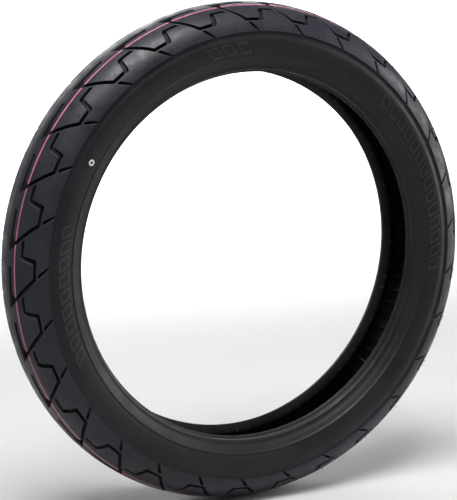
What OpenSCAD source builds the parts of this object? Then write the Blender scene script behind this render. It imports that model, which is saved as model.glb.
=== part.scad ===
// Motorcycle tyre, tubeless, bias ply, size class 90/90-18, in its free unmounted shape.
// The wheel axis is Y and the origin is the centre of the tyre. Every ring is drawn as a
// half section of [radius, y] points and revolved about Y. Left is +Y and right is -Y.

/* [Tyre size] */
// Outside diameter over the crown
outer_d = 619; // [616:0.5:621]
// Diameter of the bead seats, rim code 18
bead_seat_d = 457.2; // [456.8:0.1:457.6]
// Radius of the crown arc across the middle of the tread
crown_r = 60; // [59:0.5:61]
// Radius of the tighter arc that runs out to the tread edge
shoulder_r = 42.3; // [42:0.1:42.6]

/* [Tread pattern] */
// Number of pattern pitches round the tyre
pitches = 29; // [26:1:30]
// Depth of the grooves
groove_depth = 5.2; // [4:0.1:5.6]
// Width of the bars near the crown line and of the long slanted grooves
groove_w = 4.6; // [3.6:0.1:4.8]
// Width of the zigzag grooves
zigzag_w = 3.6; // [2.6:0.1:3.8]
// Angle at which the first pitch begins
first_pitch = 0.7; // [0:0.1:12]

/* [Layers] */
// Thickness of the tread cap rubber
cap_t = 6; // [5.8:0.1:6.2]
// Thickness of the tread base rubber at the crown
base_t = 1.4; // [1.2:0.1:1.6]
// Thickness of one breaker ply
breaker_t = 0.8; // [0.7:0.05:0.9]
// Thickness of the cushion gum under the breakers
cushion_t = 0.5; // [0.4:0.1:0.6]
// Thickness of one body ply
ply_t = 0.8; // [0.7:0.05:0.9]
// Thickness of the inner liner
liner_t = 1; // [0.8:0.1:1.2]

/* [Beads] */
// Wires side by side in a bead bundle
wire_columns = 5; // [4:1:5]
// Wire layers in a bead bundle
wire_rows = 4; // [3:1:4]
// Diameter of one bead wire
wire_d = 0.96; // [0.8:0.02:1]
// Thickness of the fabric wrap round each bead bundle
wrap_t = 0.4; // [0.3:0.1:0.5]

/* [Paint] */
// Width of the painted stripe on the right half of the tread
stripe_w = 2; // [1:0.1:3]
// Distance of the stripe from the crown line, along the surface
stripe_s = 22.6; // [20:0.1:24]
// Diameter of the ring that marks the light spot
mark_d = 7.6; // [6:0.1:9]
// Angle of the light spot mark round the tyre
mark_angle = 149.4; // [0:0.1:360]

/* [Hidden] */
$fn = 144;

tread_rubber = [0.13, 0.13, 0.15];
side_rubber = [0.09, 0.09, 0.10];
cord_brown = [0.42, 0.33, 0.22];
soft_gum = [0.23, 0.21, 0.20];
steel = [0.72, 0.62, 0.42];
paint_pink = [0.80, 0.28, 0.47];
paint_white = [0.92, 0.92, 0.90];

outer_r = outer_d / 2;
seat_r = bead_seat_d / 2;
crown_angle = 35;               // section angle where the crown arc meets the shoulder arc
edge_angle = 75;                // section angle of the tread edge
wedge_angle = 60;               // section angle where the shoulder wedge begins
outer_a = 45;                   // half width of the outer breaker, as a section angle
inner_a = 50;                   // half width of the inner breaker
cushion_a = 55;                 // half width of the cushion gum
outer_breaker_h = cushion_t + breaker_t;        // height of the outer breaker over the carcass line
breaker_top = cushion_t + 2 * breaker_t;
paint_t = 0.12;

// ---------- lines of the section ----------
crown_c = [outer_r - crown_r, 0];
shoulder_c = crown_c + (crown_r - shoulder_r) * [cos(crown_angle), sin(crown_angle)];

// The tread's point at a section angle, moved inward by a depth.
function crown_point(depth, a) =
    abs(a) <= crown_angle
    ? crown_c + (crown_r - depth) * [cos(a), sin(a)]
    : [shoulder_c[0], sign(a) * shoulder_c[1]] + (shoulder_r - depth) * [cos(a), sin(a)];

// Depth of the carcass: deep under the crown, and near the surface at the tread edge.
crown_depth = cap_t + base_t + breaker_top;
edge_depth = cap_t + 0.6;
function carcass_depth(a) =
    crown_depth - (crown_depth - edge_depth)
    * max(0, abs(a) - crown_angle) / (edge_angle - crown_angle);

// Section angles from a0 to a1, in even steps. Neighbouring layers use the same steps, so they meet.
tread_step = 7.5;
ply_step = 5;
function angles(a0, a1, step) =
    let (n = max(1, round(abs(a1 - a0) / step))) [for (i = [0:n]) a0 + (a1 - a0) * i / n];
function tread_line(depth, a0, a1) = [for (a = angles(a0, a1, tread_step)) crown_point(depth, a)];
function carcass_line(height, a0, a1) =
    [for (a = angles(a0, a1, ply_step)) crown_point(carcass_depth(a) - height, a)];

function mirrored(points) = [for (p = points) [p[0], -p[1]]];
function reversed(points) = [for (i = [len(points) - 1:-1:0]) points[i]];
function part_of(points, i0, i1) = [for (i = [i0:i1]) points[i]];
function unit(v) = v / norm(v);
function left_of(v) = [-v[1], v[0]];
function arc(centre, r, a0, a1, n) =
    [for (i = [0:n]) let (a = a0 + (a1 - a0) * i / n) centre + r * [cos(a), sin(a)]];

// A smooth curve through the points, with n steps in each span.
function spline(p, n = 3) = [
    for (i = [0:len(p) - 2]) for (k = [0:n - 1])
        let (a = p[max(i - 1, 0)], b = p[i], c = p[i + 1], d = p[min(i + 2, len(p) - 1)], t = k / n)
        0.5 * (2 * b + (c - a) * t + (2 * a - 5 * b + 4 * c - d) * t * t
            + (3 * b - a - 3 * c + d) * t * t * t),
    p[len(p) - 1]];

// The line moved sideways to its left, with mitred corners.
function offset_line(p, d) = [
    for (i = [0:len(p) - 1])
        let (before = unit(p[max(i, 1)] - p[max(i, 1) - 1]),
             after = unit(p[min(i, len(p) - 2) + 1] - p[min(i, len(p) - 2)]),
             mitre = unit(left_of(before) + left_of(after)))
        p[i] + mitre * d / (mitre * left_of(before))];

// Bead bundle: a rectangle of wires
wire_pitch = 1.2;
bundle = [wire_pitch * wire_rows + 0.4, wire_pitch * wire_columns + 0.4];
bundle_c = [seat_r + 6.1, 32.1];
wrapped = bundle / 2 + [wrap_t, wrap_t];
inner_top = bundle_c + [wrapped[0], -wrapped[1]];
outer_top = bundle_c + wrapped;
inner_low = bundle_c - wrapped;
outer_low = bundle_c + [-wrapped[0], wrapped[1]];
corner_r = 1.2;

// Carcass line, half of it: the outer face of the outer ply runs from the crown down the sidewall,
// passes the bead on the inside, turns under it and comes up again outside the bead filler.
// The plies lie to the left of the line, away from the bead.
flank = spline([crown_point(edge_depth, edge_angle), [267.6, 45.9], [262, 46.9], [256.2, 46.4],
    [250.8, 44.3], [246, 40.6], [241.8, 35.2], inner_top]);
main_line = concat(carcass_line(0, 0, edge_angle - ply_step), flank);
turn_under = concat(
    arc(inner_low + [corner_r, corner_r], corner_r, 270, 180, 3),
    arc(outer_low + [corner_r, -corner_r], corner_r, 180, 90, 3));
gum_t = 0.4;                    // gum between a ply and its own turn-up, above the filler
filler_tip = 9;                 // the flank point where the filler has thinned out to the gum
outer_ply_end = 3;              // the flank point where the outer ply's turn-up ends
inner_ply_end = 6;              // the flank point where the inner ply's turn-up ends
gum_line = offset_line(flank, -gum_t);
turn_up = concat(
    spline([outer_top, [241.6, 38.9], [246.4, 42.8], [251, 45.4]]),
    reversed(part_of(gum_line, outer_ply_end, filler_tip)));
outer_ply_line = concat(main_line, turn_under, turn_up);
inner_ply_line = part_of(outer_ply_line, 0,
    len(outer_ply_line) - 1 - (inner_ply_end - outer_ply_end));
liner_line = concat(main_line, [turn_under[0]]);

// Outer skin from under the tread edge to the toe of the bead
skin_step = 1.6;                // the sidewall lies this far under the tread surface at the edge
rim_line = [244.2, 46.9];
chafer_top = [239.4, 43.7];
heel_r = 4;
heel_c = [seat_r + heel_r, 34.8];
seat_inner_y = 30.2;
toe = [seat_r - 3.1, 27.4];
side_skin = concat(
    spline([crown_point(skin_step, edge_angle), [272.2, 49.4], [269.2, 50.1], [267, 51.1]], 2),
    spline([[265.8, 51.7], [261, 51.8], [255.4, 50.8], [249.6, 48.9], rim_line + [1.4, 0.2]], 2),
    [rim_line + [0.5, 0.7], rim_line + [-0.5, 0.3], rim_line + [-1, -0.9]]);
bead_skin = concat(
    spline([chafer_top, [236, 41.1], heel_c + [0, heel_r]], 2),
    part_of(arc(heel_c, heel_r, 90, 180, 5), 1, 5),
    [[seat_r, seat_inner_y], toe + [0, 0.8], toe]);

// ---------- section shapes ----------
// The band between two offsets of a line of one half.
module half_strip(line, d0, d1) {
    polygon(concat(offset_line(line, d0), reversed(offset_line(line, d1))));
}
// The same band right across the section, from one bead to the other.
module full_strip(line, d0, d1) {
    right = reversed(mirrored(part_of(line, 1, len(line) - 1)));
    half_strip(concat(right, line), d0, d1);
}
// The band of the tread between two depths and two section angles.
module tread_strip(depth0, depth1, a0, a1) {
    polygon(concat(tread_line(depth0, a0, a1), reversed(tread_line(depth1, a0, a1))));
}
module ply_strip(height0, height1, a) {
    polygon(concat(carcass_line(height0, -a, a), reversed(carcass_line(height1, -a, a))));
}

// Revolves a section about Y, starting at the +X side and turning towards +Z.
module revolve(degrees = 360) {
    rotate([90, 0, 0]) mirror([0, 0, 1]) rotate_extrude(angle = degrees) children();
}
module turned(degrees) {
    rotate([0, -degrees, 0]) children();
}
// The left half is drawn; the right half is its mirror image.
module on_side(side) {
    if (side == "left") children();
    else mirror([0, 1, 0]) children();
}
module each_pitch() {
    for (i = [0:pitches - 1]) turned(first_pitch + 360 * i / pitches) children();
}

// ---------- tread pattern: points are [degrees from the pitch's corner, mm from the crown line] ----------
function arc_mm(r, a) = r * a * PI / 180;
crown_s = arc_mm(crown_r, crown_angle);
edge_s = crown_s + arc_mm(shoulder_r, edge_angle - crown_angle);
function angle_at(s) =
    s <= crown_s ? s / crown_r * 180 / PI : crown_angle + (s - crown_s) / shoulder_r * 180 / PI;
function tread_point(turn, s) =
    let (p = crown_point(0, angle_at(s))) [p[0] * cos(turn), p[1], p[0] * sin(turn)];

bar_s = 13.6;
slant_start = [-1.85, 21.5];
slant_end = [-6.5, 49];
slant_half = 0.106 * groove_w;  // half width of the slanted groove, in degrees
zigzag_s = [33, 50.1];

// Turn of the slanted groove's middle line at s.
function slanted(s) =
    let (share = (s - slant_start[1]) / (slant_end[1] - slant_start[1]))
    slant_start[0] + (slant_end[0] - slant_start[0]) * share;
function slanted_groove(s0, s1, half) = [[slanted(s0) - half, s0], [slanted(s0) + half, s0],
    [slanted(s1) + half, s1], [slanted(s1) - half, s1]];
// The bar near the crown line. It overlaps the slanted groove, and its tip lies inside that groove.
bar_outline =
    let (w = groove_w / 2, tip = 22.4, middle = slanted(tip))
    [[-9, bar_s - w], [0.1, bar_s - w], [-0.3, 14.6], [middle, tip], [middle - 0.25, tip],
        [-3.1, bar_s + w], [-9, bar_s + w]];
// The zigzag. Its low bar covers the end of the slanted groove of the next pitch.
zigzag_outline =
    let (top = zigzag_s[0], low = zigzag_s[1], w = zigzag_w / 2)
    [[-2.3, top - w], [1.15, top - w], [1.35, top + 1], [2.05, low - w], [6.7, low - w], [6.1, low + w],
        [1.5, low + w], [1.2, low - 0.6], [0.65, top + w], [-2.9, top + w]];

// A prism whose outline lies on the tread and whose walls follow the tread's normal at foot_s.
module groove(outline, foot_turn, foot_s) {
    a = angle_at(foot_s);
    foot = crown_point(0, a);
    turned(foot_turn)
        multmatrix([[0, -sin(a), cos(a), foot[0]], [0, cos(a), sin(a), foot[1]],
            [-1, 0, 0, 0], [0, 0, 0, 1]])
        translate([0, 0, -groove_depth - 6]) linear_extrude(groove_depth + 14)
        polygon([for (p = outline)
            let (q = tread_point(p[0] - foot_turn, p[1]) - [foot[0], foot[1], 0])
            [-q[2], q * [-sin(a), cos(a), 0]]]);
}

// The linked grooves of one pitch on one half, down to the groove floor. The zigzag is drawn
// from the corner of the pitch before.
module pitch_grooves() {
    intersection() {
        union() {
            groove(bar_outline, -4.5, 14);
            groove(slanted_groove(14.2, 50, slant_half), -4.2, 36);
            turned(-360 / pitches) groove(zigzag_outline, 1.8, 42);
            groove(slanted_groove(54.6, edge_s + 3, 0.4), -8.5, 56);
        }
        turned(-17) revolve(19) tread_strip(-4, groove_depth, 5, edge_angle + 5);
    }
}

// ---------- sub-parts ----------
module tread_cap() {
    color(tread_rubber) difference() {
        revolve() tread_strip(0, cap_t, -edge_angle, edge_angle);
        each_pitch() for (side = ["left", "right"]) on_side(side) pitch_grooves();
    }
}

module tread_base() {
    top = tread_line(cap_t, -wedge_angle, wedge_angle);
    under = concat(
        carcass_line(0, -wedge_angle, -cushion_a),
        carcass_line(cushion_t, -cushion_a, -inner_a),
        carcass_line(outer_breaker_h, -inner_a, -outer_a),
        carcass_line(breaker_top, -outer_a, outer_a),
        carcass_line(outer_breaker_h, outer_a, inner_a),
        carcass_line(cushion_t, inner_a, cushion_a),
        carcass_line(0, cushion_a, wedge_angle));
    color(soft_gum) revolve() polygon(concat(top, reversed(under)));
}
module breaker_ply_outer() {
    color(cord_brown) revolve() ply_strip(outer_breaker_h, breaker_top, outer_a);
}
module breaker_ply_inner() {
    color(cord_brown) revolve() ply_strip(cushion_t, outer_breaker_h, inner_a);
}
module breaker_cushion() {
    color(soft_gum) revolve() ply_strip(0, cushion_t, cushion_a);
}

module body_ply_outer() {
    color(cord_brown) revolve() full_strip(outer_ply_line, 0, ply_t);
}
module body_ply_inner() {
    color(cord_brown) revolve() full_strip(inner_ply_line, ply_t, 2 * ply_t);
}
module inner_liner() {
    color(side_rubber) revolve() full_strip(liner_line, 2 * ply_t, 2 * ply_t + liner_t);
}

module shoulder_wedge(side) {
    color(soft_gum) on_side(side) revolve() polygon(concat(tread_line(cap_t, wedge_angle, edge_angle),
        reversed(carcass_line(0, wedge_angle, edge_angle))));
}

// Sidewall rubber, from the tread edge to the chafer, over the ends of the turned-up plies
module sidewall(side) {
    over_turn = offset_line(turn_up, ply_t);
    over_both = offset_line(turn_up, 2 * ply_t);
    last = len(turn_up) - 1;
    both_end = last - (inner_ply_end - outer_ply_end);
    inner_edge = concat(part_of(over_both, 2, both_end), part_of(over_turn, both_end, last),
        [turn_up[last]], reversed(part_of(flank, 0, outer_ply_end)));
    color(side_rubber) on_side(side) revolve() polygon(concat(side_skin, [chafer_top],
        inner_edge, [crown_point(cap_t, edge_angle)]));
}

// Hard rubber round the bead: outside, heel, seat, toe and up to the end of the liner
module chafer(side) {
    under_plies = offset_line(inner_ply_line, 2 * ply_t);
    foot = len(main_line);
    liner_end = turn_under[0] - [0, 2 * ply_t];
    color(side_rubber) on_side(side) revolve() polygon(concat(bead_skin,
        [liner_end - [0, liner_t], liner_end],
        part_of(under_plies, foot, foot + len(turn_under) + 2)));
}

// Hard filler above the bundle, thinning out into the gum between ply and turn-up
module bead_filler(side) {
    color(soft_gum) on_side(side) revolve() polygon(concat(
        part_of(flank, outer_ply_end, len(flank) - 1), turn_up));
}

module bead_wrap(side) {
    color(cord_brown) on_side(side) revolve() difference() {
        polygon(concat([inner_top], turn_under, [outer_top]));
        translate(bundle_c) square(bundle, center = true);
    }
}

module bundle_section() {
    for (i = [0:wire_rows - 1]) for (j = [0:wire_columns - 1])
        translate(bundle_c + wire_pitch * [i - (wire_rows - 1) / 2, j - (wire_columns - 1) / 2])
            circle(wire_d / 2, $fn = 12);
}
module bead_bundle(side) {
    color(side_rubber) on_side(side) revolve() difference() {
        translate(bundle_c) square(bundle, center = true);
        bundle_section();
    }
}
module bead_wires(side) {
    color(steel) on_side(side) revolve() bundle_section();
}

// Painted line on the right half of the tread, broken where the slanted grooves cross it
module tread_stripe() {
    half = stripe_w / 2;
    color(paint_pink) on_side("right") difference() {
        revolve() tread_strip(-paint_t, 0, angle_at(stripe_s - half), angle_at(stripe_s + half));
        each_pitch() groove(slanted_groove(stripe_s - half - 3, stripe_s + half + 3, slant_half), -2, 22);
    }
}

// White ring painted on the right sidewall at the tyre's lightest point
module balance_mark() {
    face = part_of(side_skin, 9, 13);
    middle = face[2];
    out = unit(left_of(face[0] - face[4]));
    color(paint_white) on_side("right") turned(mark_angle) intersection() {
        turned(-3) revolve(6) half_strip(face, -paint_t, 0);
        translate([middle[0], middle[1], 0]) rotate([0, 0, atan2(out[1], out[0])]) rotate([0, 90, 0])
            difference() {
                cylinder(d = mark_d, h = 4, center = true);
                cylinder(d = mark_d * 0.45, h = 5, center = true);
            }
    }
}

tread_cap();
tread_base();
breaker_ply_outer();
breaker_ply_inner();
breaker_cushion();
body_ply_outer();
body_ply_inner();
inner_liner();
shoulder_wedge("left");  // shoulder_wedge_left
shoulder_wedge("right");  // shoulder_wedge_right
sidewall("left");  // sidewall_left
sidewall("right");  // sidewall_right
chafer("left");  // chafer_left
chafer("right");  // chafer_right
bead_filler("left");  // bead_filler_left
bead_filler("right");  // bead_filler_right
bead_wrap("left");  // bead_wrap_left
bead_wrap("right");  // bead_wrap_right
bead_bundle("left");  // bead_bundle_left
bead_bundle("right");  // bead_bundle_right
bead_wires("left");  // bead_wires_left
bead_wires("right");  // bead_wires_right
tread_stripe();
balance_mark();
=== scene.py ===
import math
import random

import bpy
import numpy as np
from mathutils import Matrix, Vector
from mathutils.geometry import delaunay_2d_cdt


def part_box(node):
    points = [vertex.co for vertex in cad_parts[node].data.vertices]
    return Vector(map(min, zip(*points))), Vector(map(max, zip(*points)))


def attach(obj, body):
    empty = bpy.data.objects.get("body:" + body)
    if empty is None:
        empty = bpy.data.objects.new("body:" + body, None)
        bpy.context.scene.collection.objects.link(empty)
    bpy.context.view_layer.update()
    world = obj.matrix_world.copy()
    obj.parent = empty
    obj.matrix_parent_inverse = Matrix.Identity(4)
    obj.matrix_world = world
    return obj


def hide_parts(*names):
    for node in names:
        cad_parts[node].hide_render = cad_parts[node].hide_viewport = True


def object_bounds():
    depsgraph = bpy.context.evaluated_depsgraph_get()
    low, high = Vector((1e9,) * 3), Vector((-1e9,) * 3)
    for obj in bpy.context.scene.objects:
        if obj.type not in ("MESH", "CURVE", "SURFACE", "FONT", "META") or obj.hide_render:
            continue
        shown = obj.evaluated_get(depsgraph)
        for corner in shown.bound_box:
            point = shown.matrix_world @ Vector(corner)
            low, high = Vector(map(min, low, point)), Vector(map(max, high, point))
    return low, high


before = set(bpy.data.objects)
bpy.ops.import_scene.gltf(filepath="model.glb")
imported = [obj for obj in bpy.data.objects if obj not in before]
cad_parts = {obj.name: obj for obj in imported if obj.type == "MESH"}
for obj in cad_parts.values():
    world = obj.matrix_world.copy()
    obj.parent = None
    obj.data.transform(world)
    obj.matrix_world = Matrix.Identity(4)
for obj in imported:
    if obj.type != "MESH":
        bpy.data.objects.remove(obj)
cad_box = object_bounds()

# The looks of a motorcycle tyre. Shapes are worked out in millimetres and written in metres.
# A point of the tread is given by its turn round the tyre in degrees, its distance s along the
# surface from the crown line, and its depth below the surface. The right side, -Y, is s < 0.
MM = 0.001
LEFT, RIGHT = 1, -1
SIDES = {"left": LEFT, "right": RIGHT}
rng = random.Random(18)    # the only source of random numbers, drawn from in a fixed order

# ---------- section of the tyre, in mm ----------
OUTER_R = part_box("tread_cap")[1].z / MM
SEAT_R = 228.6
CROWN_R = 60.0
SHOULDER_R = 42.3
CROWN_ANGLE = math.radians(35)
EDGE_ANGLE = math.radians(75)
CAP_T = 6.0
SKIN_STEP = 1.6            # the sidewall starts this far below the tread's surface
SHOULDER_C = (OUTER_R - CROWN_R + (CROWN_R - SHOULDER_R) * math.cos(CROWN_ANGLE),
              (CROWN_R - SHOULDER_R) * math.sin(CROWN_ANGLE))
CROWN_S = CROWN_R * CROWN_ANGLE
EDGE_S = CROWN_S + SHOULDER_R * (EDGE_ANGLE - CROWN_ANGLE)


def angle_at(s):
    """Section angle of the tread at a distance s from the crown line, in radians."""
    along = np.abs(s)
    outer = CROWN_ANGLE + (along - CROWN_S) / SHOULDER_R
    return np.sign(s) * np.where(along <= CROWN_S, along / CROWN_R, outer)


def section_point(s, depth):
    """(radius, y) of the tread at s, moved inward by depth."""
    a = angle_at(s)
    on_crown = np.abs(a) <= CROWN_ANGLE
    radius = np.where(on_crown, CROWN_R, SHOULDER_R) - depth
    centre_r = np.where(on_crown, OUTER_R - CROWN_R, SHOULDER_C[0])
    centre_y = np.where(on_crown, 0.0, np.sign(a) * SHOULDER_C[1])
    return centre_r + radius * np.cos(a), centre_y + radius * np.sin(a)


def revolved(turn, radius, y):
    """Points in mm of (radius, y) turned from +X towards +Z, as an array of rows."""
    t = np.radians(turn)
    return np.stack([radius * np.cos(t), np.broadcast_to(y, np.shape(radius)), radius * np.sin(t)], -1)


def on_tread(turn, s, depth):
    return revolved(turn, *section_point(s, depth))


def tread_frame(turn, s):
    """Unit vectors at a point of the tread: outward, forward round the tyre, and towards +s."""
    a, t = angle_at(s), np.radians(turn)
    outward = np.stack([np.cos(a) * np.cos(t), np.sin(a), np.cos(a) * np.sin(t)], -1)
    forward = np.stack([-np.sin(t), np.zeros_like(t), np.cos(t)], -1)
    sideways = np.stack([-np.sin(a) * np.cos(t), np.cos(a), -np.sin(a) * np.sin(t)], -1)
    return outward, forward, sideways


def spline(points, steps):
    """Smooth curve through the points, with a number of steps in each span."""
    p = np.array(points, float)
    out = []
    for i in range(len(p) - 1):
        a, b, c, d = p[max(i - 1, 0)], p[i], p[i + 1], p[min(i + 2, len(p) - 1)]
        for t in np.arange(steps) / steps:
            out.append(0.5 * (2 * b + (c - a) * t + (2 * a - 5 * b + 4 * c - d) * t ** 2
                              + (3 * b - a - 3 * c + d) * t ** 3))
    return out + [p[-1]]


# ---------- tread pattern ----------
PITCHES = 29
PITCH = 360 / PITCHES
FIRST_PITCH = 0.7
FLAT = 5.2                 # mm to a degree, in the flat plan of one pitch
GROOVE_DEPTH = 5.2
GROOVE_HALF = 0.488        # half width of the slanted groove, in degrees
SLANT_TOP_S = 21.5         # the slanted groove's end near the crown
SLANT_LOW_S = 51.6         # and its end near the tread edge
BAR_S = (10.5, 16.1)
ZIG_TOP = (31.2, 34.8)
ZIG_LOW = (48.3, 51.9)
NOTCH_S = 54.3
NOTCH_HALF = 0.4


def slanted(s):
    """Turn of the slanted groove's middle at s, from its pitch's corner."""
    top_turn, turn, run = -1.85, 4.65, 27.5
    return top_turn - turn * (s - SLANT_TOP_S) / run


EDGE_FROM_SLANT = 0.84
PITCH_EDGE = ((0.0, 1.6), (11.0, 1.3), (16.0, 0.35),
              (SLANT_TOP_S, slanted(SLANT_TOP_S) + EDGE_FROM_SLANT))


def pitch_edge(s):
    """Turn of the line that parts one pitch from the next. It runs between the grooves."""
    if s > PITCH_EDGE[-1][0]:
        return slanted(s) + EDGE_FROM_SLANT
    return float(np.interp(s, *zip(*PITCH_EDGE)))


def main_outline():
    """The linked grooves of one pitch: the bar, the slanted groove and the zigzag, as (turn, s)."""
    near = -PITCH
    return [
        (-9.0, BAR_S[0] + 0.5), (0.1, BAR_S[0] - 0.4),
        (slanted(SLANT_TOP_S) + GROOVE_HALF, SLANT_TOP_S),
        (slanted(SLANT_LOW_S) + GROOVE_HALF, SLANT_LOW_S), (slanted(ZIG_LOW[1]) - 0.15, ZIG_LOW[1]),
        (near + 1.4, ZIG_LOW[1]), (near + 1.08, ZIG_LOW[1] - 2.4), (near + 0.53, ZIG_TOP[1]),
        (near - 2.9, ZIG_TOP[1]), (near - 2.3, ZIG_TOP[0]), (near + 1.15, ZIG_TOP[0]),
        (near + 1.43, ZIG_TOP[0] + 2.8), (near + 2.15, ZIG_LOW[0]),
        (slanted(ZIG_LOW[0]) - GROOVE_HALF, ZIG_LOW[0]),
        (slanted(SLANT_TOP_S) - GROOVE_HALF, SLANT_TOP_S),
        (-3.1, BAR_S[1] + 0.5), (-9.0, BAR_S[1] - 0.2),
    ]


def notch_outline():
    """The short groove that runs out through the tread edge, open at the edge."""
    return [
        (slanted(EDGE_S) - NOTCH_HALF, EDGE_S), (slanted(NOTCH_S) - NOTCH_HALF, NOTCH_S),
        (slanted(NOTCH_S) + NOTCH_HALF, NOTCH_S), (slanted(EDGE_S) + NOTCH_HALF, EDGE_S),
    ]


# Steps down a groove wall: outward offset in mm, share of the depth, tilt of the normal, strength of the
# painted highlight on the rim
WALL_STEPS = (
    (1.05, 0.0, 0, 0.0), (0.62, 0.0, 8, 0.7), (0.45, 0.018, 35, 1.0), (0.35, 0.07, 65, 0.8),
    (-0.15, 0.88, 78, 0.0), (-0.5, 0.97, 45, 0.0), (-0.95, 1.0, 0, 0.0),
)
CORNER = 0.8               # reach of the rounding at each corner of a groove
WALL_SPACING = 3.0         # between the points along a groove
LAND_SPACING = 4.2         # between the points along the tread edge
LAND_COLUMNS = 14          # of points on the land, across one pitch
PARTING = (0.35, 0.2)      # half width and depth of the fine line along the crown
EDGE_ROUNDING = (0.6, 0.4)  # width and depth of the rounded tread edge
NOTCH_DEPTH = 0.85         # as a share of the full groove depth, and the share it loses on its way out
NOTCH_RISE = 0.5
LEG_TURN = -9.7            # the zigzag's slanted leg lies before this turn, and is shallower by a share
LEG_RISE = 0.45
LEG_BLEND = 2.5


def smooth(lo, hi, x):
    """Eases from 0 at lo to 1 at hi."""
    t = min(1.0, max(0.0, (x - lo) / (hi - lo)))
    return t * t * (3 - 2 * t)


def depth_share(x, s):
    """The zigzag's slanted leg is shallower, and the notch rises to the tread edge."""
    if s > NOTCH_S - 1.5:
        return NOTCH_DEPTH - NOTCH_RISE * smooth(NOTCH_S, EDGE_S, s)
    in_leg = x / FLAT < LEG_TURN
    begun = smooth(ZIG_TOP[1], ZIG_TOP[1] + LEG_BLEND, s)
    ended = smooth(ZIG_LOW[0] - LEG_BLEND, ZIG_LOW[0], s)
    return 1 - LEG_RISE * (begun * (1 - ended)) * in_leg


def flat_outline(points):
    return [Vector((turn * FLAT, s)) for turn, s in points]


def outline_offset(points, distance, closed):
    """The outline moved outward, with mitred corners. The outline runs anticlockwise."""
    out = []
    n = len(points)
    for i, p in enumerate(points):
        before = points[i] - points[i - 1] if closed or i else points[1] - points[0]
        after = points[(i + 1) % n] - p if closed or i < n - 1 else p - points[i - 1]
        a = Vector((before.y, -before.x)).normalized()
        b = Vector((after.y, -after.x)).normalized()
        mitre = (a + b).normalized()
        moved = p + mitre * distance / mitre.dot(a)
        if not closed and i in (0, n - 1):  # an open end stays on the tread edge
            along = after if i == 0 else before
            moved += along * (p.y - moved.y) / along.y
        out.append(moved)
    return out


def outline_points(points, closed, counts):
    """The outline with rounded corners, and with counts[i] points on the edge after corner i."""
    n = len(points)
    out = []
    for i, p in enumerate(points):
        if not closed and i in (0, n - 1):
            out.append(p.copy())
            start = p
        else:
            back, ahead = points[i - 1] - p, points[(i + 1) % n] - p
            reach = min(CORNER, 0.3 * back.length, 0.3 * ahead.length)
            a, b = p + back.normalized() * reach, p + ahead.normalized() * reach
            out += [a, (a + 2 * p + b) / 4, b]
            start = b
        if not closed and i == n - 1:
            break
        following = points[(i + 1) % n]
        if closed or i + 1 < n - 1:
            back = p - following
            stop = following + back.normalized() * min(
                CORNER, 0.3 * back.length, 0.3 * (points[(i + 2) % n] - following).length)
        else:
            stop = following
        out += [start.lerp(stop, (k + 1) / (counts[i] + 1)) for k in range(counts[i])]
    return out


def inside(point, loop):
    """Is the point inside the closed loop?"""
    odd = False
    for a, b in zip(loop, loop[1:] + loop[:1]):
        if (a.y > point.y) != (b.y > point.y):
            odd ^= point.x < a.x + (point.y - a.y) / (b.y - a.y) * (b.x - a.x)
    return odd


def gap(point, loop):
    """Distance from the point to the closed loop."""
    best = 1e9
    for a, b in zip(loop, loop[1:] + loop[:1]):
        ab = b - a
        t = min(1.0, max(0.0, (point - a).dot(ab) / ab.length_squared))
        best = min(best, (point - a - ab * t).length)
    return best


class Patch:
    """One pitch of one half of the tread, in the flat plan, with a depth and a normal at each point."""

    def __init__(self):
        self.points, self.depths, self.tilts, self.wear, self.faces = [], [], [], [], []

    def add(self, point, depth=0.0, tilt=(0.0, 0.0), wear=0.0):
        """A new point, rounded down where it is near the tread edge. Returns its number."""
        width, drop = EDGE_ROUNDING
        rounding = drop * max(0.0, (point.y - EDGE_S + width) / width) ** 2
        self.points.append(point)
        self.depths.append(max(depth, rounding))
        self.tilts.append(tilt)
        self.wear.append(wear)
        return len(self.points) - 1

    def fill(self, loops, extra=()):
        """Triangles inside the first loop of point numbers, outside the loops within it, and through
        the extra points."""
        used = [i for loop in loops for i in loop] + list(extra)
        place = {i: k for k, i in enumerate(used)}
        edges = [(place[a], place[b]) for loop in loops for a, b in zip(loop, loop[1:] + loop[:1])]
        within, precision = 1, 1e-6
        _, _, faces, origin, _, _ = delaunay_2d_cdt(
            [self.points[i] for i in used], edges, [], within, precision)
        faces = [[origin[v][0] for v in face] for face in faces]
        beside = {}
        for number, face in enumerate(faces):
            for a, b in zip(face, face[1:] + face[:1]):
                beside.setdefault(frozenset((a, b)), []).append(number)
        walls = {frozenset(edge) for edge in edges}
        todo, reached = [beside[frozenset(edges[0])][0]], set()
        while todo:
            number = todo.pop()
            if number in reached:
                continue
            reached.add(number)
            face = faces[number]
            self.faces.append(tuple(used[v] for v in face))
            for a, b in zip(face, face[1:] + face[:1]):
                if frozenset((a, b)) not in walls:
                    todo += beside[frozenset((a, b))]

    def groove(self, outline, closed):
        """The walls of a groove. Returns their rows of point numbers, from the rim to the floor."""
        nominal = flat_outline(outline)
        n = len(nominal)
        lengths = [(nominal[(i + 1) % n] - nominal[i]).length for i in range(n)]
        counts = [int(length / WALL_SPACING) for length in lengths]
        rows = []
        for offset, share, tilt, wear in WALL_STEPS:
            moved = outline_points(outline_offset(nominal, offset, closed), closed, counts)
            row = []
            for i, p in enumerate(moved):
                ahead = moved[(i + 1) % len(moved)] if closed or i < len(moved) - 1 else p
                behind = moved[i - 1] if closed or i else p
                inward = Vector((behind.y - ahead.y, ahead.x - behind.x)).normalized()
                lean = math.sin(math.radians(tilt))
                depth = GROOVE_DEPTH * share * depth_share(p.x, p.y)
                row.append(self.add(p, depth, (inward.x * lean, inward.y * lean), wear))
            rows.append(row)
        span = len(rows[0]) if closed else len(rows[0]) - 1
        for outer, inner in zip(rows, rows[1:]):
            for i in range(span):
                j = (i + 1) % len(outer)
                self.faces.append((outer[i], outer[j], inner[j], inner[i]))
        return rows


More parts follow.
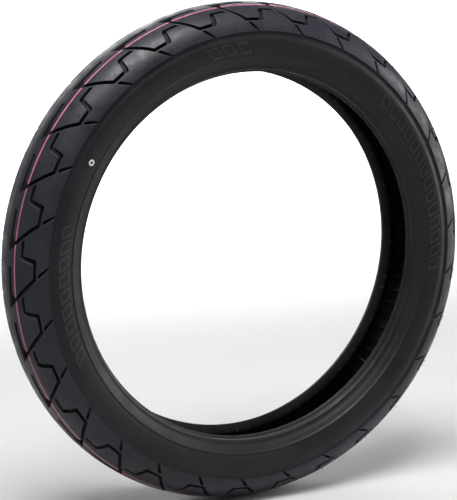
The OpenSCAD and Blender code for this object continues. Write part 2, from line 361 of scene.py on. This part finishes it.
def between(s, share):
    """The flat point at s that is a share of the way from the low pitch edge to the high one."""
    return Vector(((pitch_edge(s) - PITCH * (1 - share)) * FLAT, s))


def edge_points(patch, x0, x1):
    """New points along the tread edge between two places on it."""
    n = max(1, round((x1 - x0) / LAND_SPACING))
    return [patch.add(Vector((x0 + (x1 - x0) * k / n, EDGE_S))) for k in range(1, n)]


def land_points(patch, rows_s, outline, rim):
    """New points spread over the land, clear of its outline and of the groove's rim."""
    extra = []
    for row, s in enumerate(rows_s):
        near_edge = s > EDGE_S - 1
        columns = 2 * LAND_COLUMNS if near_edge else LAND_COLUMNS
        clear = 0.25 if near_edge else 1.5
        for k in range(1, columns):
            stagger = 0.0 if near_edge else 0.25 - 0.5 * (row % 2)
            p = between(s, (k + stagger) / columns)
            if inside(p, outline) and gap(p, outline) >= clear \
                    and not inside(p, rim) and gap(p, rim) >= clear * 0.9:
                extra.append(patch.add(p))
    return extra


def tread_patch():
    """The patch, with the point numbers of its two pitch edges, crown line and tread edge."""
    patch = Patch()
    rows_s = [0.0, PARTING[0]] + list(np.linspace(4.0, EDGE_S - EDGE_ROUNDING[0], 16))
    rows_s += [EDGE_S - 0.25, EDGE_S]
    high = [patch.add(between(s, 1), 0.0 if s else PARTING[1]) for s in rows_s]
    low = [patch.add(between(s, 0), 0.0 if s else PARTING[1]) for s in rows_s]
    across = [k / LAND_COLUMNS for k in range(1, LAND_COLUMNS)]
    crown = [low[0]] + [patch.add(between(0.0, k), PARTING[1]) for k in across] + [high[0]]
    beside = [low[1]] + [patch.add(between(PARTING[0], k)) for k in across] + [high[1]]
    patch.faces += zip(crown, crown[1:], beside[1:], beside)

    main = patch.groove(main_outline(), True)
    notch = patch.groove(notch_outline(), False)
    patch.fill([main[-1]])
    patch.fill([notch[-1]])

    # The tread edge, from the low pitch edge to the high one, through the notch
    notch_low = [row[0] for row in notch]
    notch_high = [row[-1] for row in notch]
    x = [patch.points[i].x for i in (low[-1], notch_low[0], notch_high[0], high[-1])]
    first = edge_points(patch, x[0], x[1])
    second = edge_points(patch, x[2], x[3])
    chain = [low[-1]] + first + notch_low + notch_high[::-1] + second + [high[-1]]

    boundary = [low[-1]] + first + notch[0] + second + high[:0:-1] + beside[-2:0:-1] + low[1:-1]
    outline, rim = ([patch.points[i] for i in loop] for loop in (boundary, main[0]))
    patch.fill([boundary, main[0]], land_points(patch, rows_s[2:-1], outline, rim))
    return patch, low, high, crown, chain


# ---------- objects ----------
def new_piece(name, points, faces, material, slot, replaced=(), normals=None, floats=None, sharp=30):
    """A mesh object from points in mm, riding on the tyre's one body. Normals are one for each
    corner of each face, and floats hold a named value for each point."""
    mesh = bpy.data.meshes.new(name)
    mesh.from_pydata((np.asarray(points) * MM).tolist(), [], faces)
    mesh.shade_smooth()
    if normals is None:
        mesh.set_sharp_from_angle(angle=math.radians(sharp))
    else:
        mesh.normals_split_custom_set(normals)
    for key, values in (floats or {}).items():
        mesh.attributes.new(key, "FLOAT", "POINT").data.foreach_set("value", values)
    mesh.materials.append(material)
    piece = bpy.data.objects.new(name, mesh)
    bpy.context.scene.collection.objects.link(piece)
    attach(piece, "root")
    if replaced:
        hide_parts(*replaced)


def ring_faces(columns, rows, closed_section=True, flip=False):
    """Quads of a surface with a closed ring of columns, each with a number of rows."""
    faces = []
    for c in range(columns):
        d = (c + 1) % columns
        for r in range(rows if closed_section else rows - 1):
            q = (r + 1) % rows
            quad = (c * rows + r, c * rows + q, d * rows + q, d * rows + r)
            faces.append(quad[::-1] if flip else quad)
    return faces


def ring_points(profile, turns):
    """The (radius, y) points of a profile, turned to each of the turns."""
    p = np.asarray(profile, float)
    return np.concatenate([revolved(np.full(len(p), t), p[:, 0], p[:, 1]) for t in turns])


def soup(shapes):
    """Joins (points, faces) shapes into one."""
    points, faces, count = [], [], 0
    for more_points, more_faces in shapes:
        points.append(np.asarray(more_points))
        faces += [tuple(i + count for i in face) for face in more_faces]
        count += len(more_points)
    return np.concatenate(points), faces


# ---------- materials ----------
class Recipe:
    """A procedural material being put together. Most methods return the socket they add."""

    def __init__(self, name):
        self.material = bpy.data.materials.new(name)
        self.material.use_nodes = True
        self.tree = self.material.node_tree
        self.shader = self.tree.nodes["Principled BSDF"]
        self.coords = self.tree.nodes.new("ShaderNodeTexCoord").outputs["Object"]

    def feed(self, socket, value):
        """Links the socket to another one, or sets it to a number or a colour."""
        if isinstance(value, bpy.types.NodeSocket):
            self.tree.links.new(value, socket)
        else:
            socket.default_value = (*value, 1) if isinstance(value, tuple) else value

    def surface(self, key, value):
        self.feed(self.shader.inputs[key], value)

    def node(self, kind, values):
        node = self.tree.nodes.new("ShaderNode" + kind)
        for key, value in values.items():
            self.feed(node.inputs[key], value)
        return node

    def noise(self, scale, detail=3.0, rough=0.55):
        values = {"Vector": self.coords, "Scale": scale, "Detail": detail, "Roughness": rough}
        return self.node("TexNoise", values).outputs["Fac"]

    def attribute(self, name):
        node = self.node("Attribute", {})
        node.attribute_name = name
        return node.outputs["Fac"]

    def ramp(self, value, stops):
        node = self.node("ValToRGB", {"Fac": value})
        while len(node.color_ramp.elements) < len(stops):
            node.color_ramp.elements.new(0.5)
        for element, (place, colour) in zip(node.color_ramp.elements, stops):
            element.position = place
            element.color = (*colour, 1)
        return node.outputs["Color"]

    def mapped(self, value, lo, hi, out_lo, out_hi):
        values = {"Value": value, "From Min": lo, "From Max": hi, "To Min": out_lo, "To Max": out_hi}
        return self.node("MapRange", values).outputs["Result"]

    def total(self, a, b):
        return self.maths("ADD", a, b)

    def product(self, a, b):
        return self.maths("MULTIPLY", a, b)

    def maths(self, operation, a, b):
        node = self.node("Math", {0: a, 1: b})
        node.operation = operation
        return node.outputs["Value"]

    def mixed(self, amount, a, b):
        node = self.node("Mix", {})
        node.data_type = "RGBA"
        for key, kind, value in (("Factor", "VALUE", amount), ("A", "RGBA", a), ("B", "RGBA", b)):
            self.feed(next(s for s in node.inputs if s.name == key and s.type == kind), value)
        return next(s for s in node.outputs if s.type == "RGBA")

    def bump(self, height, distance, strength):
        values = {"Height": height, "Distance": distance, "Strength": strength}
        self.surface("Normal", self.node("Bump", values).outputs["Normal"])


def rubber(name, dark, light, rough, gloss, highlight_and_ridge_colour=None, patchy=(0.25, 1.0), blotch=0.07):
    """Moulded rubber: cloudy colour and fine grain. A paler colour goes on the points that the mesh
    marks:
    a painted highlight on the tread's groove rims, lighter lines on the liner's ridges. Where the mesh
    gives a groove depth, painted shade darkens the colour, more so deeper down, and the rubber is
    rougher there."""
    mix = Recipe(name)
    speck = mix.noise(260.0, 2.0)
    colour = mix.ramp(mix.noise(9.0), [(0.3, dark), (0.72, light)])
    dust = tuple(min(1, 1.5 * c + 0.004) for c in light)
    colour = mix.mixed(mix.mapped(speck, 0.52, 0.8, 0.0, 0.35), colour, dust)
    stain = mix.mapped(mix.noise(34.0, 4.0, 0.6), 0.36, 0.64, -blotch, blotch)
    roughness = mix.total(stain, mix.mapped(speck, 0.3, 0.7, rough - 0.04, rough + 0.05))
    if highlight_and_ridge_colour:
        # The paler colour is a painted highlight on the tread's groove rims and lighter lines on the
        # liner's ridges, broken into patches by noise
        patches = mix.mapped(mix.noise(40.0), 0.35, 0.65, *patchy)
        amount = mix.product(mix.attribute("wear"), patches)
        colour = mix.mixed(mix.product(amount, 0.6), colour, highlight_and_ridge_colour)
        # Painted shade: the deeper a point of a groove, the closer its colour comes to near black
        painted_groove_shade = mix.mapped(mix.attribute("groove"), 0.03, 0.4, 0.0, 0.92)
        colour = mix.mixed(painted_groove_shade, colour, (0.003, 0.003, 0.003))
        roughness = mix.total(roughness, mix.product(painted_groove_shade, 0.35))
    mix.surface("Base Color", colour)
    mix.surface("Roughness", roughness)
    mix.surface("Specular IOR Level", gloss)
    mix.bump(mix.total(mix.noise(1400.0, 2.0), mix.product(speck, 0.6)), 0.00006, 0.5)
    return mix.material


def paint(name, colours, rough):
    """A thin coat of paint on rubber, uneven in colour and gloss."""
    mix = Recipe(name)
    patchy = mix.noise(180.0, 4.0, 0.65)
    tone = mix.total(mix.product(patchy, 0.6), mix.product(mix.noise(14.0), 0.4))
    mix.surface("Base Color", mix.ramp(tone, colours))
    mix.surface("Roughness", mix.mapped(patchy, 0.3, 0.7, rough - 0.08, rough + 0.1))
    mix.bump(patchy, 0.00005, 0.4)
    return mix.material


def cord_fabric():
    """Rubberised cord ply: brown cords side by side under a thin skin of rubber."""
    mix = Recipe("ply cord")
    wave = mix.node("TexWave", {"Vector": mix.coords, "Scale": 320.0, "Distortion": 0.6})
    cords = wave.outputs["Fac"]
    mix.surface("Base Color", mix.ramp(cords, [(0.1, (0.05, 0.035, 0.022)), (0.8, (0.24, 0.16, 0.09))]))
    mix.surface("Roughness", mix.mapped(cords, 0.0, 1.0, 0.75, 0.6))
    mix.bump(cords, 0.0003, 0.6)
    return mix.material


def bead_steel():
    """Bronze plated bead wire."""
    mix = Recipe("bead wire")
    tarnish = mix.noise(120.0, 4.0)
    mix.surface("Base Color", mix.ramp(tarnish, [(0.3, (0.42, 0.30, 0.16)), (0.7, (0.72, 0.58, 0.36))]))
    mix.surface("Roughness", mix.mapped(tarnish, 0.3, 0.7, 0.22, 0.38))
    mix.surface("Metallic", 1.0)
    mix.bump(tarnish, 0.00005, 0.3)
    return mix.material


tread_rubber = rubber("tread rubber", (0.014, 0.014, 0.020), (0.026, 0.026, 0.037), rough=0.46,
                      gloss=0.32, highlight_and_ridge_colour=(0.08, 0.08, 0.097), blotch=0.12)
side_rubber = rubber("sidewall rubber", (0.006, 0.0065, 0.008), (0.013, 0.0135, 0.0165), rough=0.50,
                     gloss=0.32)
mark_rubber = rubber("moulded mark rubber", (0.020, 0.020, 0.021), (0.034, 0.034, 0.036), rough=0.36,
                     gloss=0.5)
liner_rubber = rubber("liner rubber", (0.006, 0.006, 0.006), (0.013, 0.013, 0.013), rough=0.45,
                      gloss=0.4, highlight_and_ridge_colour=(0.30, 0.30, 0.30), patchy=(-0.1, 1.0))
core_rubber = rubber("core rubber", (0.030, 0.028, 0.026), (0.050, 0.047, 0.044), rough=0.65, gloss=0.4)
stripe_paint = paint("stripe paint", [(0.28, (0.30, 0.05, 0.13)), (0.62, (0.60, 0.20, 0.33))], 0.5)
mark_paint = paint("mark paint", [(0.3, (0.62, 0.62, 0.60)), (0.55, (0.86, 0.86, 0.84))], 0.55)


# ---------- tread ----------
UNDER_S = np.concatenate([[-EDGE_S], np.linspace(-60, 60, 11), [EDGE_S]])


def tread_pitches(patch, low, high, crown):
    """The patch laid round both halves: points, faces, a normal for each corner, and point numbers."""
    n = len(patch.points)
    flat = np.array([(p.x / FLAT, p.y) for p in patch.points])
    tilt = np.array(patch.tilts)
    index = np.arange(2 * PITCHES * n).reshape(2, PITCHES, n)
    index[1][:, crown] = index[0][:, crown]
    index[:, :, low] = index[:, np.arange(PITCHES) - 1][:, :, high]
    points = np.empty((2, PITCHES, n, 3))
    normals = np.empty((2, PITCHES, n, 3))
    for number, side in enumerate((LEFT, RIGHT)):
        for k in range(PITCHES):
            turn = FIRST_PITCH + k * PITCH + flat[:, 0]
            s = side * flat[:, 1]
            points[number, k] = on_tread(turn, s, np.array(patch.depths))
            outward, forward, sideways = tread_frame(turn, s)
            lean = tilt[:, :1] * forward + side * tilt[:, 1:] * sideways
            up = np.sqrt(np.maximum(0.0, 1 - (tilt ** 2).sum(1)))[:, None]
            normals[number, k] = up * outward + lean
    points, normals = points.reshape(-1, 3), normals.reshape(-1, 3)

    faces, corner_normals = [], []
    for number in range(2):
        for ids in index[number]:
            for face in patch.faces:
                corners = [int(ids[i]) for i in (face if number else face[::-1])]
                faces.append(corners)
                corner_normals += [normals[i] for i in corners]
    return points, faces, corner_normals, index


def tread_back(first, turns, tops):
    """The underside, numbered from first, and the side faces up to tops, the two tread edges."""
    columns, rows = len(turns), len(UNDER_S)
    grid_turn, grid_s = np.repeat(turns, rows), np.tile(UNDER_S, columns)
    points = on_tread(grid_turn, grid_s, np.full(len(grid_s), CAP_T))
    inward = -tread_frame(grid_turn, grid_s)[0]
    faces, corner_normals = [], []
    for face in ring_faces(columns, rows, closed_section=False, flip=True):
        faces.append([first + i for i in face])
        corner_normals += [inward[i] for i in face]
    for top, side in zip(tops, (LEFT, RIGHT)):
        foot = first + np.arange(columns) * rows + (rows - 1 if side == LEFT else 0)
        facing = side * tread_frame(turns, np.full(columns, side * EDGE_S))[2]
        for c in range(columns):
            d = (c + 1) % columns
            quad = [(top[c], c), (top[d], d), (foot[d], d), (foot[c], c)]
            quad = quad[::-1] if side == LEFT else quad
            faces.append([int(i) for i, _ in quad])
            corner_normals += [facing[j] for _, j in quad]
    return points, faces, corner_normals


def make_tread():
    """Both patterned halves, the side faces and the underside, as one closed mesh."""
    patch, low, high, crown, chain = tread_patch()
    points, faces, normals, index = tread_pitches(patch, low, high, crown)
    edge = chain[:-1]
    edge_turns = np.array([patch.points[i].x / FLAT for i in edge])
    turns = (FIRST_PITCH + np.arange(PITCHES)[:, None] * PITCH + edge_turns[None]).reshape(-1)
    tops = [half[:, edge].reshape(-1) for half in index]
    back_points, back_faces, back_normals = tread_back(len(points), turns, tops)

    points = np.concatenate([points, back_points])
    faces += back_faces
    used, renumbered = np.unique(np.concatenate(faces), return_inverse=True)
    ends = np.cumsum([len(face) for face in faces])[:-1]
    floats = {}
    # Each point's painted rim highlight, and its depth share, which sets the painted shade in the
    # grooves
    for key, values in (("wear", patch.wear), ("groove", np.array(patch.depths) / GROOVE_DEPTH)):
        floats[key] = np.append(np.tile(values, 2 * PITCHES), np.zeros(len(back_points)))[used]
    new_piece("tread", points[used], [face.tolist() for face in np.split(renumbered, ends)],
              tread_rubber, "tread_rubber", ["tread_cap"], normals=normals + back_normals, floats=floats)


make_tread()


# ---------- sidewalls and chafers ----------
CHAFER_TOP = (239.4, 43.7)
HEEL_R = 4.0
HEEL_C = (SEAT_R + HEEL_R, 34.8)
SEAT_INNER_Y = 30.2
TOE = (SEAT_R - 3.1, 27.4)
LINER_FOOT = (SEAT_R + 4.3, 25.9)
RING_TURNS = np.arange(0, 360, 1.0)


def side_skin():
    """Outer face of the left sidewall, as (radius, y), from under the tread edge to the chafer."""
    top = section_point(np.array(EDGE_S), np.array(SKIN_STEP))
    flat = spline([top, (272.2, 49.4), (269.6, 49.8), (267.0, 50.7), (264.0, 51.2), (260, 50.95),
                   (255.4, 50.2), (249.6, 48.7), (246.2, 47.4)], 5)
    rib = [(245.4, 47.25), (245.0, 47.45), (244.6, 47.7), (244.1, 47.65), (243.6, 47.2), (243.3, 46.6)]
    return flat + rib + spline([(242.6, 46.0), (241, 44.8), CHAFER_TOP], 3)


def bead_skin():
    """Outer face of the left chafer, from the sidewall round the heel and seat to the toe."""
    outer = spline([CHAFER_TOP, (237.6, 42.3), (235.2, 40.3), (HEEL_C[0], HEEL_C[1] + HEEL_R)], 4)
    heel = [(HEEL_C[0] + HEEL_R * math.cos(a), HEEL_C[1] + HEEL_R * math.sin(a))
            for a in np.radians(np.arange(100, 181, 10))]
    toe = [(SEAT_R, SEAT_INNER_Y), (TOE[0] + 0.35, TOE[1] + 0.95), (TOE[0], TOE[1] + 0.6),
           (TOE[0], TOE[1] + 0.2), (TOE[0] + 0.3, TOE[1] - 0.06)]
    return outer + heel + toe + [LINER_FOOT]


def solid_ring(name, profile, side, material, slot, replaced):
    """A closed ring. The profile runs anticlockwise as (radius, y) on the left side."""
    p = np.array(profile, float)
    p[:, 1] *= side
    faces = ring_faces(len(RING_TURNS), len(p), flip=side == RIGHT)
    new_piece(name, ring_points(p, RING_TURNS), faces, material, slot, replaced)


def make_side(name, side):
    """The skins of one sidewall and one bead, each closed at the back by a plain line."""
    inner = [(241.5, 40.0), (250.0, 46.2), (260.0, 48.4), (268.0, 47.4),
             section_point(np.array(EDGE_S), np.array(5.6))]
    solid_ring("sidewall_skin_" + name, side_skin() + inner, side, side_rubber, "sidewall_rubber",
               ["sidewall_" + name])
    core = [(233.0, 26.9), (230.8, 28.4), (230.2, 31.0), (230.2, 34.0), (231.4, 36.4), (233.6, 37.3),
            (236.9, 37.3)]
    solid_ring("bead_skin_" + name, bead_skin() + core, side, side_rubber, "sidewall_rubber",
               ["chafer_" + name])


for name, side in SIDES.items():
    make_side(name, side)


# ---------- inner liner ----------
LINER_T = 0.8
LINER_STEP = 1.0           # from the CAD liner's outer face to the skin's inner face
LINER_RIDGES = 96
# Across one bladder ridge: share of its pitch, height in mm
RIDGE_STEPS = ((0.0, 0.0), (0.45, 0.0), (0.48, 0.45), (0.50, 0.5), (0.52, 0.45), (0.55, 0.0))


def make_liner():
    """The lining, with the fine ridges that the curing bladder leaves on its inner face."""
    crown_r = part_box("inner_liner")[1].z / MM - LINER_STEP
    half = spline([(crown_r, 0.0), (294.6, 15.0), (287.5, 28.5), (277.6, 38.4), (270.0, 42.0),
                   (262.2, 42.9), (256.0, 42.6), (249.6, 39.8), (243.6, 34.2), (238.7, 25.9),
                   (LINER_FOOT[0] - 0.2, 25.9)], 3)
    line = np.array([(r, -y) for r, y in half[:0:-1]] + [(r, y) for r, y in half])
    ahead = np.roll(line, -1, 0) - np.roll(line, 1, 0)
    ahead[0], ahead[-1] = line[1] - line[0], line[-1] - line[-2]
    out = np.stack([ahead[:, 1], -ahead[:, 0]], 1) / np.linalg.norm(ahead, axis=1)[:, None]
    turns, rise = [], []
    for k in range(LINER_RIDGES):
        full = rng.uniform(0.25, 1.0)
        for share, height in RIDGE_STEPS:
            turns.append((k + share) * 360 / LINER_RIDGES)
            rise.append(height * full)
    # The ridges fade out towards the crown and towards the toe
    reach = np.clip((np.abs(line[:, 1]) - 14) / 6, 0, 1) * np.clip((line[:, 0] - 236) / 5, 0, 1)
    outer_line = (line + out * LINER_T)[::-1]
    ring = []
    for turn, height in zip(turns, rise):
        inside_line = line - out * (height * reach)[:, None]
        ring.append(revolved(np.full(2 * len(line), turn), *np.concatenate([inside_line, outer_line]).T))
    rows = 2 * len(line)
    # The ridges are painted in the liner's lighter colour, more strongly on the higher ridges
    ridge = np.repeat(np.array(rise) / max(rise), rows)
    new_piece("liner_skin", np.concatenate(ring), ring_faces(len(turns), rows, flip=True),
              liner_rubber, "liner_rubber", ["inner_liner"], floats={"wear": ridge}, sharp=50)


make_liner()


# ---------- moulding details ----------
SPEW_PLACES = ((-2.2, 62.0), (4.2, 44.0), (5.7, 60.0), (0.3, 56.5), (9.2, 60.0), (3.4, 31.0))
SPEW_RINGS = ((0.0, 0.55), (0.25, 0.42), (0.7, 0.34), (1.0, 0.2))  # share of the height, radius in mm
SPEW_SIDES = 6
SPEW_ROOT = 0.3            # mm of each stub that is under the tread's surface


def spew(turn, s, height, lean):
    """A rubber hair left by a vent hole of the mould: a thin stub that leans and tapers."""
    turns, along = np.array([turn]), np.array([s])
    base = on_tread(turns, along, np.array([SPEW_ROOT]))[0]
    outward, forward, sideways = (v[0] for v in tread_frame(turns, along))
    points, faces = [], []
    for share, radius in SPEW_RINGS:
        bend = (forward * lean[0] + sideways * lean[1]) * share ** 2
        middle = base + outward * (height + SPEW_ROOT) * share + bend
        for a in np.radians(np.arange(0, 360, 360 / SPEW_SIDES)):
            points.append(middle + (forward * math.cos(a) + sideways * math.sin(a)) * radius)
    for below in range(0, len(points) - SPEW_SIDES, SPEW_SIDES):
        above = below + SPEW_SIDES
        for i in range(SPEW_SIDES):
            j = (i + 1) % SPEW_SIDES
            faces.append((below + j, below + i, above + i, above + j))
    top = range(len(points) - SPEW_SIDES, len(points))
    return points, faces + [tuple(range(SPEW_SIDES)), tuple(top)[::-1]]


def make_spews():
    """The spews of every pitch, each a little different."""
    stubs = []
    for side in SIDES.values():
        for k in range(PITCHES):
            for turn, s in SPEW_PLACES:
                height = rng.uniform(0.5, 1.2) if s > 50 else rng.uniform(0.8, 2.6)
                lean = (rng.uniform(-0.8, 0.8), rng.uniform(-1.0, -0.2) * side)
                place = FIRST_PITCH + k * PITCH + turn + rng.uniform(-0.1, 0.1)
                stubs.append(spew(place, side * s, height, lean))
    new_piece("vent_spews", *soup(stubs), tread_rubber, "tread_rubber", sharp=60)


MOULD_LINE = ((6.4, 0.3), (6.65, -0.12), (7.15, -0.12), (7.4, 0.3))  # s and depth, in mm


def make_mould_line(name, side):
    """The fine raised line that a joint of the mould leaves beside the crown."""
    profile = [section_point(np.array(s), np.array(depth)) for s, depth in MOULD_LINE]
    # Made of the darker sidewall rubber: painted shade, a dark line where so low a rib casts little
    # shadow
    solid_ring("mould_line_" + name, profile, side, side_rubber, "tread_rubber", ())


SIDE_SKIN = np.array(side_skin())[::-1]
MARK_R = 256               # radius at which the frames' widths are measured
MARK_ROOT = 0.15           # mm of each frame that is under the sidewall's surface
MARK_BEVEL = 0.2
MARK_WIDTH = 1.5
# Rows of frames: first turn, count, turn from one to the next, slant, inner radius, outer radius, height
MARK_ROWS = ((-8, 14, 4.0, 1.5, 249.6, 262.0, 0.4), (93, 3, 4.4, 1.7, 250.5, 262.5, 0.45),
             (166, 9, 4.2, 1.5, 250.0, 261.5, 0.3))


def on_side(side, turn, r, height):
    """A point of the sidewall at radius r, raised by height towards the outside."""
    y = np.interp(r, SIDE_SKIN[:, 0], SIDE_SKIN[:, 1])
    return revolved(turn, r, side * (y + height))


def raised_frame(side, outline, width, height):
    """A moulded rib that follows a closed outline of (turn, radius) on the sidewall."""
    corners = [Vector((math.radians(turn) * MARK_R, r)) for turn, r in outline]
    foot, top = width / 2, width / 2 - MARK_BEVEL
    loops = [outline_offset(corners, d, True) for d in (foot, top, -top, -foot)]
    n = max(2, int((corners[1] - corners[0]).length / 3))
    points = []
    for loop, up in zip(loops, (-MARK_ROOT, height, height, -MARK_ROOT)):
        for a, b in zip(loop, loop[1:] + loop[:1]):
            for k in range(n):
                p = a.lerp(b, k / n)
                points.append(on_side(side, math.degrees(p.x / MARK_R), p.y, up))
    count = len(points) // 4
    faces = []
    for ring in range(4):
        first, second = ring * count, (ring + 1) % 4 * count
        for i in range(count):
            j = (i + 1) % count
            quad = (first + i, first + j, second + j, second + i)
            faces.append(quad if side == LEFT else quad[::-1])
    return points, faces


def lozenge(turn, r_low, r_high, span, slant):
    """A slanted four-sided outline, anticlockwise in (turn, radius)."""
    return [(turn, r_low), (turn + span, r_low), (turn + span + slant, r_high), (turn + slant, r_high)]


def make_side_marks():
    """Plain moulded ornament on the flat of each sidewall: rows of slanted frames."""
    frames = []
    for side in SIDES.values():
        for start, count, step, slant, r_low, r_high, height in MARK_ROWS:
            for k in range(count):
                outline = lozenge(start + k * step, r_low, r_high, step * 0.6, slant)
                frames.append(raised_frame(side, outline, MARK_WIDTH, height))
    new_piece("side_ornament", *soup(frames), mark_rubber, "sidewall_rubber")


make_spews()
make_side_marks()
for name, side in SIDES.items():
    make_mould_line(name, side)


# ---------- stage, light and camera ----------
def make_stage():
    """A pale floor that curves up into a wall behind the tyre."""
    floor_z = cad_box[0].z
    size, wall, cove_y, cove_r = 6.0, 2.5, 1.6, 1.2
    profile = [(-size, floor_z), (cove_y, floor_z)]
    profile += [(cove_y + cove_r * math.sin(a), floor_z + cove_r * (1 - math.cos(a)))
                for a in np.radians(np.arange(10, 91, 10))]
    profile += [(cove_y + cove_r, floor_z + cove_r + wall)]
    points, faces = [], []
    for y, z in profile:
        points += [(-size, y, z), (size, y, z)]
    for i in range(len(profile) - 1):
        faces.append((2 * i, 2 * i + 1, 2 * i + 3, 2 * i + 2))
    mesh = bpy.data.meshes.new("stage")
    mesh.from_pydata(points, [], faces)
    mesh.shade_smooth()
    pale = Recipe("stage")
    pale.surface("Base Color", (0.55, 0.55, 0.55))
    pale.surface("Roughness", 0.9)
    mesh.materials.append(pale.material)
    stage = bpy.data.objects.new("stage", mesh)
    bpy.context.scene.collection.objects.link(stage)


def area_light(name, place, target, size, power, spread=180):
    light = bpy.data.lights.new(name, "AREA")
    light.shape = "RECTANGLE"
    light.size, light.size_y = size
    light.energy = power
    light.spread = math.radians(spread)
    lamp = bpy.data.objects.new(name, light)
    lamp.location = place
    lamp.rotation_mode = "QUATERNION"
    lamp.rotation_quaternion = (Vector(target) - Vector(place)).to_track_quat("-Z", "Y")
    bpy.context.scene.collection.objects.link(lamp)


def make_camera():
    """The photo's view: a long lens, from -Y and a little towards -X, just above the middle."""
    azimuth, elevation, distance = math.radians(-27.94), math.radians(9.945), 2.0025
    back = Vector((math.sin(azimuth) * math.cos(elevation), -math.cos(azimuth) * math.cos(elevation),
                   math.sin(elevation)))
    data = bpy.data.cameras.new("camera")
    data.lens = 116.13
    data.sensor_width = 36
    data.shift_x = -0.026
    data.shift_y = 0.0059
    camera = bpy.data.objects.new("camera", data)
    camera.location = back * distance
    camera.rotation_mode = "QUATERNION"
    camera.rotation_quaternion = (-back).to_track_quat("-Z", "Y")
    bpy.context.scene.collection.objects.link(camera)
    bpy.context.scene.camera = camera


make_stage()
area_light("key", (-0.6, -0.7, 2.35), (0, 0, 0.1), (1.8, 1.2), power=22, spread=80)
area_light("right", (2.5, -0.5, 0.5), (0, 0, 0), (1.2, 1.4), power=38)
area_light("back", (0.8, 2.0, 2.2), (1.0, 3.4, 0.3), (3.0, 1.2), power=200, spread=125)
world = bpy.data.worlds.new("studio")
bpy.context.scene.world = world
world.use_nodes = True
world.node_tree.nodes["Background"].inputs["Color"].default_value = (1, 1, 1, 1)
world.node_tree.nodes["Background"].inputs["Strength"].default_value = 0.1
bpy.context.scene.view_settings.view_transform = "Standard"
make_camera()


# ---------- CAD nodes that stay ----------
FABRIC = ("breaker_ply_outer", "breaker_ply_inner", "body_ply_outer", "body_ply_inner",
          "bead_wrap_left", "bead_wrap_right")
STEEL = ("bead_wires_left", "bead_wires_right")
coats = {"tread_stripe": stripe_paint, "balance_mark": mark_paint}
coats.update(dict.fromkeys(FABRIC, cord_fabric()))
coats.update(dict.fromkeys(STEEL, bead_steel()))
for node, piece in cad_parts.items():
    if not piece.hide_render:
        piece.data.materials.clear()
        piece.data.materials.append(coats.get(node, core_rubber))
